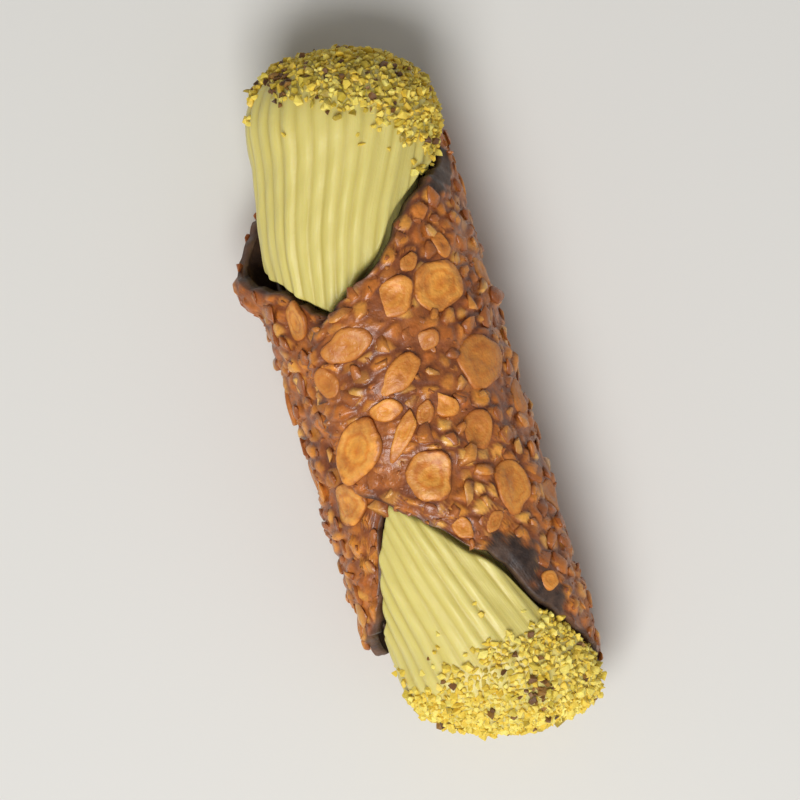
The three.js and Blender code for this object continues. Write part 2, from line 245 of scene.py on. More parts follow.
def lip_reach(wrap, end):
    """How far along the roll the sheet reaches at a wrap."""
    lip = LIPS[end]
    fade = 1 - smoothstep(np.abs(wrap), 28, 36)
    wander = np.sin(0.55 * wrap + lip["wave"]) + 0.6 * np.sin(0.93 * wrap + 2 * lip["wave"])
    return through_points(lip["wraps"], lip["reaches"], wrap) + LIP_WAVE * fade * wander


def stand_off(turn):
    return STAND_OFF * (0.5 - 0.5 * np.sin(turn - SEAM_TURN))


def rolled(wrap, along, height):
    """World places, in mm, of points of the roll; height counts from the middle of its wall."""
    turn = math.pi - wrap / ROLL_RADIUS
    flap = FLAP_LIFT * smoothstep(wrap, LIFT_FROM, LIFT_TO)
    flap = flap - FLAP_DIP * smoothstep(-wrap, LIFT_FROM, LIFT_TO)
    away = np.hypot(wrap - CORNER_WRAP, along - CORNER_ALONG) / CORNER_SPREAD
    radius = ROLL_RADIUS + height + stand_off(turn) + flap + CORNER_HEIGHT * np.exp(-away * away)
    seen = turn - SEAM_TURN
    return np.stack(
        [radius * np.sin(seen) + AXIS_SIDE, along + AXIS_ALONG, radius * np.cos(seen) + AXIS_HEIGHT],
        axis=-1,
    )


def seen_from_above(across, along):
    """The place on the sheet that lies under a point of the photograph."""
    turn = math.asin(across / (ROLL_RADIUS + BRITTLE / 2)) + SEAM_TURN
    on_outer_flap = ROLL_RADIUS * (math.pi - turn) < FLAP_END
    wrap = ROLL_RADIUS * (math.pi - turn) if on_outer_flap else -ROLL_RADIUS * (math.pi + turn)
    return wrap, along


def lip_over(wrap, along):
    """How far the sheet reaches at each place, at the end that the place is nearer."""
    return np.where(along > 0, lip_reach(wrap, "far"), lip_reach(wrap, "near"))


def covered_share(wrap, along):
    """1 where the outer flap lies over the inner one, 0 where the sheet can be seen."""
    outer = wrap + 2 * HALF_TURN
    under = smoothstep(-wrap, 2 * HALF_TURN - FLAP_END - 1.2, 2 * HALF_TURN - FLAP_END - 0.2)
    return under * smoothstep(lip_over(outer, along) - np.abs(along), -0.9, -0.2)


for lip_end in LIPS:
    print(lip_end, "lip at the seam, mm from the middle:", lip_reach(np.array([HALF_TURN]), lip_end))

# %% [markdown]
# ## Where the nut slices lie
#
# The largest hazelnut slices are in the solid already, eleven of them read off the photograph and the
# others drawn by a seeded rule. The same rule is followed here, so that each dressed slice covers its
# plain one. Slivers that show in the photograph and a few small slices come after them, and only this
# dressing has those.

# %% Slices read off the photograph
# Each one: across and along from the roll's middle, long and wide, all in mm, and spin in degrees
SHOWN_SLICES = [
    (7.7, 12.4, 6.6, 5.8, 0),
    (2.0, 12.5, 5.8, 3.8, 34),
    (-4.2, 8.6, 6.2, 3.6, 6),
    (0.3, 3.4, 6.0, 3.0, 34),
    (10.0, 2.0, 7.0, 6.0, 14),
    (-6.3, -4.0, 8.2, 5.1, 44),
    (0.2, -9.4, 5.8, 5.4, 73),
    (7.2, -5.8, 4.6, 3.7, 78),
    (9.2, -13.7, 6.0, 4.9, 98),
    (-10.9, -10.2, 6.0, 4.8, 20),
    (-10.5, 13.2, 4.4, 3.6, 70),
]
# Thin pieces and small slices that also show, but are too slight for the solid
SHOWN_SLIVERS = [
    (-7.4, 4.9, 3.7, 3.0, 100),
    (-2.2, -0.3, 3.7, 2.5, 5),
    (-0.9, -3.4, 7.2, 2.0, 48),
    (2.0, -16.6, 2.8, 2.1, 114),
    (9.4, 17.0, 3.2, 2.2, 97),
    (4.4, 6.4, 3.2, 2.2, 20),
    (1.7, -2.0, 3.0, 2.0, 60),
    (4.9, 16.2, 2.8, 2.0, 40),
]
print("read off the photograph:", len(SHOWN_SLICES), "slices,", len(SHOWN_SLIVERS), "slivers")

# %% Slices drawn by rule
MORE_SLICES = 24
SMALL_SLICES = 14
SLICE_WRAPS = (-31, FLAP_END - 4)
SLICE_PROPORTIONS = (0.6, 0.95)


def seeded_numbers(seed):
    """The same draw from 0 to 1 as the solid's own."""
    state = seed
    while True:
        state = (state * 1664525 + 1013904223) % 2**32
        yield state / 2**32


def draw_slices(slices, count, draw, sizes, spacing, from_lip, tries):
    """Adds slices as (wrap, along, long, wide, spin) wherever there is room."""
    wanted = len(slices) + count
    for _ in range(tries):
        if len(slices) == wanted:
            break
        wrap = blend(*SLICE_WRAPS, next(draw))
        share = 2 * next(draw) - 1
        reach = float(lip_reach(np.array([wrap]), "far" if share > 0 else "near")[0])
        long = blend(*sizes, next(draw))
        along = share * (reach - from_lip)
        wide = long * blend(*SLICE_PROPORTIONS, next(draw))
        spin = 180 * next(draw)
        if all(math.hypot(s[0] - wrap, s[1] - along) > spacing * (s[2] + long) for s in slices):
            slices.append((wrap, along, long, wide, spin))
    return slices


slices = [(*seen_from_above(across, along), *rest) for across, along, *rest in SHOWN_SLICES]
slices = draw_slices(slices, MORE_SLICES, seeded_numbers(7), (3.6, 6.4), 0.62, from_lip=4, tries=400)
slices += [(*seen_from_above(across, along), *rest) for across, along, *rest in SHOWN_SLIVERS]
slices = draw_slices(slices, SMALL_SLICES, seeded_numbers(11), (2.2, 3.2), 0.52, from_lip=2, tries=3000)
SLICES = np.array(slices)
print("slices:", len(SLICES))

# %% [markdown]
# ## The brittle's relief
#
# Between the slices the real sheet is a mosaic of chopped nuts under caramel, with glossy grooves
# where they meet. A scatter of seed points gives every vertex its nearest nut: the middle of a nut
# stands up and the border between two sinks. A displacement texture could do this as well, but seeds
# also say which nut a vertex is on, so each nut can have a colour of its own.

# %% Seeds of the chopped nuts
NUT_SPACING = 2.15
SEEDED_WRAP, SEEDED_ALONG = 43, 40
SEED_JITTER, SEED_TILT = 0.45, 0.14
rng = np.random.default_rng(5)
columns, rows = int(2 * SEEDED_WRAP / NUT_SPACING), int(2 * SEEDED_ALONG / NUT_SPACING)
grid_u, grid_v = np.meshgrid(np.arange(columns) + 0.5, np.arange(rows) + 0.5)
seeds = np.stack([grid_u.ravel() * NUT_SPACING, grid_v.ravel() * NUT_SPACING], axis=-1)
seeds -= (SEEDED_WRAP, SEEDED_ALONG)
seeds[:, 0] += NUT_SPACING * 0.5 * (grid_v.ravel() % 2)
seeds += rng.uniform(-SEED_JITTER, SEED_JITTER, seeds.shape) * NUT_SPACING
seed_height = rng.uniform(0, 1, len(seeds))
seed_tilt = rng.normal(0, SEED_TILT, seeds.shape)
seed_tint = rng.uniform(0, 1, len(seeds))
print("chopped nuts under the caramel:", len(seeds))


# %% The nut, the slice and the chocolate at a place
def nearest_seeds(wrap, along):
    """For each place: the nearest seed, and how much further off the second one is."""
    places = np.stack([wrap, along], axis=-1)
    nearest = np.empty(len(places), int)
    margin = np.empty(len(places))
    at_once = 4000
    for start in range(0, len(places), at_once):
        part = places[start : start + at_once]
        distance = np.hypot(part[:, None, 0] - seeds[None, :, 0], part[:, None, 1] - seeds[None, :, 1])
        order = np.argpartition(distance, 1, axis=1)[:, :2]
        pair = np.take_along_axis(distance, order, axis=1)
        nearest[start : start + at_once] = order[np.arange(len(part)), pair.argmin(axis=1)]
        margin[start : start + at_once] = pair.max(axis=1) - pair.min(axis=1)
    return nearest, margin


def oval_distance(wrap, along, oval):
    """How far places are from the middle of an oval, where its rim is at 1."""
    oval_wrap, oval_along, half_long, half_wide, spin = oval
    turned = math.radians(spin)
    # Ovals are described from above, and there wrap runs to the left
    right, ahead = -(wrap - oval_wrap), along - oval_along
    x = (right * math.cos(turned) + ahead * math.sin(turned)) / half_long
    y = (ahead * math.cos(turned) - right * math.sin(turned)) / half_wide
    return np.hypot(x, y)


def slice_distance(wrap, along):
    """How far a place is from its nearest slice: 0 in its middle, 1 at its rim."""
    best = np.full(np.shape(wrap), 9.0)
    for slice_wrap, slice_along, long, wide, spin in SLICES:
        oval = (slice_wrap, slice_along, long / 2, wide / 2, spin)
        best = np.minimum(best, oval_distance(wrap, along, oval))
    return best


# Chocolate that ran over the lips: across and along seen from above, and the patch's half sizes
SMEARS = [(6.8, -22.2, 4.6, 2.9, -50), (12.0, 26.0, 4.2, 2.6, 40), (9.5, -28.0, 3.5, 2.2, -50)]


def smear_share(wrap, along):
    """1 where chocolate ran over the lip, 0 where it didn't."""
    share = np.zeros(np.shape(wrap))
    ragged = 0.16 * np.sin(2.3 * wrap + 1.1 * along) + 0.12 * np.sin(3.7 * along - 1.9 * wrap)
    for across, place, *shape in SMEARS:
        away = oval_distance(wrap, along, (*seen_from_above(across, place), *shape))
        share = np.maximum(share, 1 - smoothstep(away + ragged, 0.75, 1.1))
    return share


print("slice distance at the middle:", slice_distance(np.array([20.0]), np.array([0.0])))

# %% The height of the brittle at a place
EDGE_WIDTH = 2.4
# The lips slant, so the way to them is this share of the way along the roll
LIP_SLANT = 0.75


def wall(edge):
    """The sheet thins towards its edges."""
    return blend(LIP_THICKNESS, BRITTLE, smoothstep(edge, 0, EDGE_WIDTH))


def surface(wrap, along):
    """Height of the bare sheet's outside at one place, without its relief."""
    to_lip = LIP_SLANT * (lip_over(np.array([wrap]), np.array([along]))[0] - abs(along))
    return float(wall(min(to_lip, FLAP_END - abs(wrap)))) / 2


def broad_lumps(wrap, along):
    """The sheet's slow unevenness, which the slices lie on as the chopped nuts do."""
    across = np.sin(0.95 * wrap + 1.6 * np.sin(0.37 * along))
    lengthways = np.sin(0.83 * along - 1.4 * np.sin(0.41 * wrap))
    return 0.17 * (across + lengthways)


def brittle_relief(wrap, along):
    """Height over the even wall, and how much nut shows, for many places at once."""
    nearest, margin = nearest_seeds(wrap, along)
    offset = np.stack([wrap, along], axis=-1) - seeds[nearest]
    crest = smoothstep(margin, 0.0, 1.1)
    nut = crest * (0.14 + 0.46 * seed_height[nearest]) + crest * (offset * seed_tilt[nearest]).sum(axis=-1)
    grit = np.sin(3.1 * wrap + 1.3 * np.sin(1.9 * along)) * np.sin(2.9 * along + 1.1 * np.sin(2.3 * wrap))
    bed = smoothstep(slice_distance(wrap, along), 0.96, 1.25)
    smear = smear_share(wrap, along)
    height = broad_lumps(wrap, along) + bed * (nut + 0.04 * grit - 0.04)
    height = blend(height, 0.2 + 0.06 * grit, 0.75 * smear)
    uncovered = 1 - covered_share(wrap, along)
    off_table = 1 - 0.85 * np.exp(-(((wrap - UNDERSIDE) / 4) ** 2))
    shown = crest * (0.45 + 0.55 * seed_height[nearest]) * bed
    return height * uncovered * off_table, shown, seed_tint[nearest], smear


print("relief at the middle:", brittle_relief(np.array([20.0]), np.array([0.0]))[0])

# %% [markdown]
# ## From arrays and bmesh to pieces
#
# A piece is finished in one way throughout: its bmesh, in metres and in its own place, becomes an
# object at the origin that rides on the root body and names its material slot. Numbers that a
# material reads, such as which nut a vertex is on, are written as attributes of the mesh.


# %% Helpers that finish a piece
def finish_piece(name, mesh, material, replaced=(), smooth=True):
    piece = bpy.data.objects.new(name, mesh)
    bpy.context.scene.collection.objects.link(piece)
    mesh.materials.append(material)
    mesh.polygons.foreach_set("use_smooth", [smooth] * len(mesh.polygons))
    mesh.update()
    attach(piece, "root")
    if replaced:
        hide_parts(*replaced)
    triangles = sum(len(face.vertices) - 2 for face in mesh.polygons)
    print(name, "triangles:", triangles)


def above_table(places):
    """Places in mm, with what would pass the table pressed flat on it."""
    places = places.copy()
    places[:, 2] = np.maximum(places[:, 2], 0.0)
    return places


def place_vertices(bm, places):
    """Moves all vertices to places given in mm."""
    for vertex, place in zip(bm.verts, (above_table(places) * MM).tolist()):
        vertex.co = place
    bm.normal_update()
    bmesh.ops.recalc_face_normals(bm, faces=bm.faces[:])
    bm.normal_update()


def mesh_of(bm, name):
    mesh = bpy.data.meshes.new(name)
    bm.to_mesh(mesh)
    bm.free()
    return mesh


def write_numbers(mesh, name, numbers):
    layer = mesh.attributes.new(name, "FLOAT", "POINT")
    layer.data.foreach_set("value", np.ascontiguousarray(numbers, dtype=np.float32))


def read_number(tree, name):
    return node(tree, "Attribute", attribute_name=name).outputs["Fac"]


# %% [markdown]
# ## Brittle material
#
# The caramel is a hard, clear, brown gloss over nuts of every shade from straw to rust. The nut under
# a vertex sets its colour, the grooves go to dark caramel, and noise on object coordinates breaks both
# up at a finer scale than the mesh. The clear top of the caramel is the shader's coat. Where the
# chocolate attribute rises, the same surface turns into satin chocolate.


# %% Nodes shared by the materials
def ramp(tree, factor, stops):
    made = node(tree, "ValToRGB", {"Fac": factor})
    elements = made.color_ramp.elements
    while len(elements) < len(stops):
        elements.new(0.5)
    for element, (position, colour) in zip(elements, stops):
        element.position = position
        element.color = colour
    return made.outputs["Color"]


def noise(tree, size_mm, detail=3.0, roughness=0.55, vector=None):
    """Noise whose patches are about size_mm across."""
    vector = vector or node(tree, "TexCoord").outputs["Object"]
    values = {"Vector": vector, "Scale": 1 / (size_mm * MM), "Detail": detail, "Roughness": roughness}
    return node(tree, "TexNoise", values).outputs["Fac"]


def mixed(tree, factor, first, second, blend_type="MIX"):
    made = node(tree, "Mix", data_type="RGBA", blend_type=blend_type)
    for index, value in ((0, factor), (6, first), (7, second)):
        if isinstance(value, bpy.types.NodeSocket):
            tree.links.new(value, made.inputs[index])
        else:
            made.inputs[index].default_value = value
    return made.outputs[2]


def stretched(tree, value, low, high, to_low=0.0, to_high=1.0):
    values = {"Value": value, "From Min": low, "From Max": high, "To Min": to_low, "To Max": to_high}
    return node(tree, "MapRange", values).outputs["Result"]


def shaded(tree, colour, share):
    """A colour with its brightness multiplied by a share."""
    grey = node(tree, "CombineColor", {"Red": share, "Green": share, "Blue": share}).outputs["Color"]
    return mixed(tree, 1.0, colour, grey, "MULTIPLY")


def bumped(tree, shader, layers):
    """Stacks bump layers, each a height and its depth in mm."""
    normal = None
    for height, depth in layers:
        values = {"Height": height, "Distance": depth * MM, "Strength": 1.0}
        if normal:
            values["Normal"] = normal
        normal = node(tree, "Bump", values).outputs["Normal"]
    tree.links.new(normal, shader.inputs["Normal"])


def set_shader(shader, **values):
    for key, value in values.items():
        shader.inputs[key.replace("_", " ")].default_value = value


def link(tree, value, shader, socket):
    tree.links.new(value, shader.inputs[socket])


# %% Brittle
CHOCOLATE_DARK, CHOCOLATE_LIGHT = tone(48, 33, 27), tone(94, 70, 55)
CARAMEL_DARK, CARAMEL = tone(108, 56, 32), tone(150, 84, 42)
brittle_material, tree, shader = blank_material("caramel_brittle")
nut_colour = ramp(
    tree,
    read_number(tree, "tint"),
    [
        (0.0, tone(186, 102, 38)),
        (0.3, tone(214, 128, 48)),
        (0.65, tone(234, 152, 58)),
        (1.0, tone(250, 188, 90)),
    ],
)
caramel_colour = ramp(
    tree,
    noise(tree, 4.5, 4.0),
    [(0.3, CARAMEL_DARK), (0.48, tone(150, 83, 41)), (0.66, tone(196, 115, 48))],
)
body_colour = mixed(tree, stretched(tree, read_number(tree, "nut"), 0.15, 0.8), caramel_colour, nut_colour)
speckle = stretched(tree, noise(tree, 0.7, 4.0, 0.6), 0.35, 0.7, 0.78, 1.12)
body_colour = shaded(tree, body_colour, speckle)
chocolate_colour = ramp(tree, noise(tree, 2.2), [(0.35, CHOCOLATE_DARK), (0.7, CHOCOLATE_LIGHT)])
is_chocolate = read_number(tree, "chocolate")
link(tree, mixed(tree, is_chocolate, body_colour, chocolate_colour), shader, "Base Color")
caramel_roughness = stretched(tree, noise(tree, 1.6), 0.3, 0.7, 0.24, 0.46)
duller = node(tree, "Math", {0: is_chocolate, 1: 0.16, 2: caramel_roughness}, operation="MULTIPLY_ADD")
link(tree, duller.outputs["Value"], shader, "Roughness")
set_shader(shader, Coat_Weight=0.12, Coat_Roughness=0.14)
set_shader(shader, Subsurface_Weight=0.1, Subsurface_Scale=0.001, Subsurface_Radius=(1.0, 0.5, 0.25))
bumped(tree, shader, [(noise(tree, 1.6, 3.0), 0.26), (noise(tree, 0.3, 2.0), 0.04)])
print("brittle material nodes:", len(tree.nodes))

# %% [markdown]
# ## The brittle sheet
#
# A flat grid is extruded once, so that it has an outside, an inside and a rim, and is then bent round
# the roll by moving its vertices. The outside gets the relief and the inside stays even. The sheet
# thins towards its edges, which wander a little, as snapped brittle does.

# %% Grid, extrusion and bend
SHEET_COLUMNS, SHEET_ROWS = 200, 176
sheet = bmesh.new()
bmesh.ops.create_grid(sheet, x_segments=SHEET_COLUMNS, y_segments=SHEET_ROWS, size=1)
extruded = bmesh.ops.extrude_face_region(sheet, geom=sheet.faces[:])
sheet.verts.index_update()
inside = np.zeros(len(sheet.verts), bool)
inside[[v.index for v in extruded["geom"] if isinstance(v, bmesh.types.BMVert)]] = True
flat = np.array([v.co[:2] for v in sheet.verts])


def on_sheet(u, v):
    """From the flat grid to wrap, along and the distance to the sheet's edge."""
    wrap = u * (FLAP_END - FLAP_CORNER * v**6)
    wrap += 0.45 * np.sin(4.1 * v * 9 + 1.0) * np.sin(2.3 * v * 9) * np.sign(u) * np.abs(u) ** 20
    reach = np.where(v > 0, lip_reach(wrap, "far"), lip_reach(wrap, "near"))
    ragged = 0.22 * np.sin(2.1 * wrap + 1.3 * np.sin(0.9 * wrap)) * np.abs(v) ** 12
    edge = np.minimum((1 - np.abs(v)) * reach * LIP_SLANT, (1 - np.abs(u)) * FLAP_END)
    along = v * reach + np.sign(v) * ragged - np.sign(v) * 0.12 * np.abs(v) ** 12
    return wrap, along, edge


wrap, along, edge = on_sheet(flat[:, 0], flat[:, 1])
height, nut, tint, smear = brittle_relief(wrap, along)
thickness = wall(edge)
height = np.where(inside, -thickness / 2, thickness / 2 + height * smoothstep(edge, -0.6, 0.6))
place_vertices(sheet, rolled(wrap, along, height))

rim_width = 0.3 + 0.5 * np.sin(1.7 * wrap + 0.8) * np.sin(0.6 * wrap)
rim_width = np.where(wrap < -22, 0.3 * rim_width, rim_width)
rim = 0.8 * (1 - smoothstep(edge, 0.0, 0.3 + np.maximum(rim_width, 0.0)))
covered = (covered_share(wrap, along) > 0.5) | (np.abs(wrap) > FLAP_END - 1.2)
chocolate = np.where(inside, 1.0, np.maximum(smear, np.where(covered, 0.0, rim)))

brittle_mesh = mesh_of(sheet, "brittle_sheet")
write_numbers(brittle_mesh, "nut", np.where(inside, 0, nut))
write_numbers(brittle_mesh, "tint", tint)
write_numbers(brittle_mesh, "chocolate", chocolate)
finish_piece("brittle_sheet", brittle_mesh, brittle_material, ["nut_brittle"])

# %% [markdown]
# ## Hazelnut slices
#
# A slice is a flat disc with a rounded rim, a thin dark skin round it and a small hollow where the
# kernel parts. Each is a profile spun round its axis and then pulled out of round, because no two
# slices in the photograph are alike. They are set into the caramel where the slice list says, and all
# become one mesh. The face stands just proud of the sheet.

# %% Slice material
slice_material, tree, shader = blank_material("hazelnut_slice")
ring_place = node(
    tree,
    "Math",
    {0: read_number(tree, "rim"), 1: stretched(tree, noise(tree, 1.5, 2.0), 0.25, 0.75, -0.14, 0.14)},
    operation="ADD",
).outputs["Value"]
face_colour = ramp(
    tree,
    ring_place,
    [
        (0.0, tone(214, 122, 40)),
        (0.14, tone(240, 156, 58)),
        (0.38, tone(252, 180, 80)),
        (0.54, tone(226, 134, 44)),
        (0.7, tone(255, 188, 92)),
        (0.9, tone(244, 162, 68)),
        (1.0, tone(150, 80, 36)),
    ],
)
shade = stretched(tree, noise(tree, 1.3, 4.0, 0.6), 0.3, 0.72, 0.74, 1.1)
face_colour = shaded(tree, face_colour, shade)
toasting = stretched(tree, read_number(tree, "tint"), 0.0, 1.0, 0.75, 0.1)
glazing = stretched(tree, noise(tree, 2.4, 3.0), 0.46, 0.66, 0.0, 0.6)
toasted = mixed(tree, toasting, face_colour, tone(236, 152, 60))
glazed = mixed(tree, glazing, toasted, tone(176, 98, 42))
link(tree, mixed(tree, read_number(tree, "glaze"), glazed, tone(172, 98, 44)), shader, "Base Color")
link(tree, stretched(tree, noise(tree, 1.0), 0.3, 0.7, 0.32, 0.56), shader, "Roughness")
set_shader(shader, Specular_IOR_Level=0.4, Coat_Weight=0.12, Coat_Roughness=0.24)
set_shader(shader, Subsurface_Weight=0.12, Subsurface_Scale=0.001, Subsurface_Radius=(1.0, 0.6, 0.3))
bumped(tree, shader, [(noise(tree, 1.5, 3.0), 0.34), (noise(tree, 0.3, 2.0), 0.04)])
print("slice material nodes:", len(tree.nodes))


# %% A lathe, and one slice before it is pulled out of round
def lathe(profile, steps):
    """A closed shape from (radius, height) points spun round Z."""
    bm = bmesh.new()
    verts = [bm.verts.new((radius, 0, height)) for radius, height in profile]
    edges = [bm.edges.new(pair) for pair in zip(verts, verts[1:])]
    bmesh.ops.spin(
        bm,
        geom=verts + edges,
        cent=(0, 0, 0),
        axis=(0, 0, 1),
        dvec=(0, 0, 0),
        angle=2 * math.pi,
        steps=steps,
        use_merge=True,
        use_normal_flip=False,
        use_duplicate=False,
    )
    # The spun copies of a pole differ in their last digits
    bmesh.ops.remove_doubles(bm, verts=bm.verts[:], dist=1e-4)
    bm.normal_update()
    bmesh.ops.recalc_face_normals(bm, faces=bm.faces[:])
    return bm


SLICE_PROFILE = [
    (0.0, 0.2),
    (0.06, 0.22),
    (0.13, 0.3),
    (0.26, 0.33),
    (0.38, 0.33),
    (0.44, 0.31),
    (0.475, 0.26),
    (0.5, 0.14),
    (0.51, -0.1),
    (0.42, -0.6),
    (0.0, -0.6),
]
SLICE_STEPS = 26
# Caramel climbs the rims, so a slice is made a little wider than it shows and stands a little proud
SLICE_SPREAD, SLICE_RISE = 1.09, 0.05


def arrays_of(bm):
    """Vertices and faces of a bmesh, for copying many times."""
    bm.verts.index_update()
    verts = np.array([v.co[:] for v in bm.verts])
    faces = [[v.index for v in face.verts] for face in bm.faces]
    bm.free()
    return verts, faces


slice_verts, slice_faces = arrays_of(lathe(SLICE_PROFILE, SLICE_STEPS))
print("vertices of one slice:", len(slice_verts))


# %% Many small things as one mesh
def joined(name, parts):
    """One mesh from many (vertices in mm, faces) parts, and which part each vertex is of."""
    places, faces, owner, start = [], [], [], 0
    for index, (verts, part_faces) in enumerate(parts):
        places.append(verts)
        faces.extend([[start + i for i in face] for face in part_faces])
        owner.append(np.full(len(verts), index))
        start += len(verts)
    mesh = bpy.data.meshes.new(name)
    mesh.from_pydata((above_table(np.concatenate(places)) * MM).tolist(), [], faces)
    return mesh, np.concatenate(owner)


def on_roll(wrap, along, height, local):
    """Points given as right, ahead and outward in mm, set on the roll's outside."""
    here = np.array([wrap]), np.array([along])
    spot = rolled(*here, np.array([height]))[0]
    outward = rolled(*here, np.array([height + 1]))[0] - spot
    sideways = np.cross([0, 1.0, 0], outward)
    return spot + local @ np.array([sideways, [0, 1.0, 0], outward])


# %% How much caramel covers each slice, and how clear its rings are
# The photograph shows some slices bare and others well covered
SLICE_GLAZE = [0.0, 0.1, 0.45, 0.3, 0.5, 0.0, 0.15, 0.5, 0.3, 0.05, 0.2]
SLIVER_GLAZE = [0.5, 0.0, 0.15, 0.3, 0.4, 0.6, 0.5, 0.5]
SLICE_RINGS = [0.6, 0.4, 0.5, 0.2, 0.4, 0.7, 1.0, 0.4, 0.5, 0.8, 0.7]
first_sliver = len(SHOWN_SLICES) + MORE_SLICES
glaze = np.random.default_rng(9).uniform(0, 0.6, len(SLICES))
glaze[: len(SHOWN_SLICES)] = SLICE_GLAZE
glaze[first_sliver : first_sliver + len(SHOWN_SLIVERS)] = SLIVER_GLAZE
print("mean cover of caramel:", round(float(glaze.mean()), 2))

# %% The slices
LOBE_DEPTHS = (0.05, 0.065, 0.055, 0.04, 0.03)
BROKEN_SHARE = 0.35
slice_rng = np.random.default_rng(3)
parts, rims = [], []
for index, (wrap_at, along_at, long, wide, spin) in enumerate(SLICES):
    around = np.arctan2(slice_verts[:, 1], slice_verts[:, 0])
    radius = np.hypot(slice_verts[:, 0], slice_verts[:, 1])
    phases = slice_rng.uniform(0, 2 * math.pi, 5)
    lobes = slice_rng.uniform(0.4, 1, 5) * LOBE_DEPTHS
    waves = [lobe * np.sin((k + 2) * around + phase) for k, (lobe, phase) in enumerate(zip(lobes, phases))]
    outline = 1 + sum(waves)
    radius_here = radius * outline * SLICE_SPREAD
    # Some slices have lost a side: they stop at a straight break
    is_broken = slice_rng.random() < BROKEN_SHARE and index > 1
    break_at = slice_rng.uniform(0.3, 0.42) if is_broken else 1.0
    towards = np.cos(around - slice_rng.uniform(0, 2 * math.pi))
    clipped = np.minimum(radius_here, break_at / np.maximum(towards, 1e-3))
    radius_here = np.where(towards > 0, clipped, radius_here)
    turned = math.radians(spin)
    x, y = radius_here * np.cos(around) * long, radius_here * np.sin(around) * wide
    right, ahead = x * math.cos(turned) - y * math.sin(turned), x * math.sin(turned) + y * math.cos(turned)
    # The large ones that the photograph shows lie flat, and the rest lean a little
    tilt = slice_rng.normal(0, 0.05, 2) * (0.25 if index < len(SHOWN_SLICES) else 1)
    wavy = 0.06 * np.sin(1.1 * right + phases[0]) * np.sin(1.3 * ahead + phases[1])
    wavy += broad_lumps(wrap_at - right, along_at + ahead)
    # A hot slice bends part of the way with the roll
    sag = 0.55 * right**2 / (2 * ROLL_RADIUS)
    lift = slice_verts[:, 2] + wavy + right * tilt[0] + ahead * tilt[1] - sag
    lift += SLICE_RISE - 0.2 * glaze[index]
    base = surface(wrap_at, along_at)
    parts.append((on_roll(wrap_at, along_at, base, np.stack([right, ahead, lift], axis=-1)), slice_faces))
    # Twice the radius is 1 at the rim, and the side below it counts as skin
    rims.append(radius * 2 + np.where(slice_verts[:, 2] < 0.1, 0.2, 0))
slices_mesh, owner = joined("hazelnut_slices", parts)
write_numbers(slices_mesh, "rim", np.concatenate(rims))
ring_shares = slice_rng.uniform(0, 0.8, len(SLICES))
ring_shares[: len(SHOWN_SLICES)] = SLICE_RINGS
write_numbers(slices_mesh, "tint", ring_shares[owner])
write_numbers(slices_mesh, "glaze", glaze[owner])
finish_piece("hazelnut_slices", slices_mesh, slice_material)

# %% [markdown]
# ## Flakes and chips of nut
#
# Between the slices lie flat flakes and small chips, angular and half sunk in the caramel. A dozen or
# so kinds of each are made as the convex hull of a few points with softened edges, and hundreds of
# turned and scaled copies are set into the sheet. Flakes lie on the seeds of the relief, so each one
# rests on its own rise. All are one joined mesh with a shade for each piece, and a second number says
# where a piece is bare, so that the caramel seems to climb its sides.

# %% Chip material
chip_material, tree, shader = blank_material("nut_chips")
chip_colour = ramp(
    tree,
    read_number(tree, "tint"),
    [
        (0.0, tone(166, 92, 42)),
        (0.35, tone(208, 124, 50)),
        (0.7, tone(236, 154, 62)),
        (1.0, tone(252, 190, 98)),
    ],
)
shade = stretched(tree, noise(tree, 1.3, 4.0, 0.6), 0.3, 0.72, 0.66, 1.08)
chip_colour = shaded(tree, chip_colour, shade)
link(tree, mixed(tree, read_number(tree, "bare"), CARAMEL, chip_colour), shader, "Base Color")
link(tree, stretched(tree, noise(tree, 1.0), 0.3, 0.7, 0.24, 0.46), shader, "Roughness")
set_shader(shader, Coat_Weight=0.14, Coat_Roughness=0.16)
set_shader(shader, Subsurface_Weight=0.12, Subsurface_Scale=0.001, Subsurface_Radius=(1.0, 0.6, 0.3))
bumped(tree, shader, [(noise(tree, 1.1, 3.0), 0.24), (noise(tree, 0.3, 3.0), 0.04)])
print("chip material nodes:", len(tree.nodes))


# %% Kinds of chip
def rough_hull(draw, points, half_sizes, bevel):
    """An angular lump: the convex hull of points on an uneven ball."""
    bm = bmesh.new()
    for _ in range(points):
        spot = Vector((draw.gauss(0, 1), draw.gauss(0, 1), draw.gauss(0, 1))).normalized()
        spot *= draw.uniform(0.8, 1.0)
        bm.verts.new([s * half for s, half in zip(spot, half_sizes)])
    hull = bmesh.ops.convex_hull(bm, input=bm.verts[:])
    spare = [v for v in hull["geom_interior"] + hull["geom_unused"] if isinstance(v, bmesh.types.BMVert)]
    bmesh.ops.delete(bm, geom=list(set(spare)), context="VERTS")
    if bevel:
        bmesh.ops.bevel(
            bm,
            geom=bm.edges[:],
            offset=bevel,
            affect="EDGES",
            segments=1,
            profile=0.5,
            material=-1,
            clamp_overlap=True,
        )
        # Bevels that meet can leave faces with no area
        bmesh.ops.dissolve_degenerate(bm, edges=bm.edges[:], dist=1e-3)
    bm.normal_update()
    bmesh.ops.recalc_face_normals(bm, faces=bm.faces[:])
    return arrays_of(bm)


def turned_copy(verts, draw, scale):
    """A prototype turned every way and scaled."""
    spot = Vector((draw.gauss(0, 1), draw.gauss(0, 1), draw.gauss(0, 1))).normalized()
    turn = np.array(Matrix.Rotation(draw.uniform(0, 2 * math.pi), 3, spot))
    return verts @ turn.T * scale


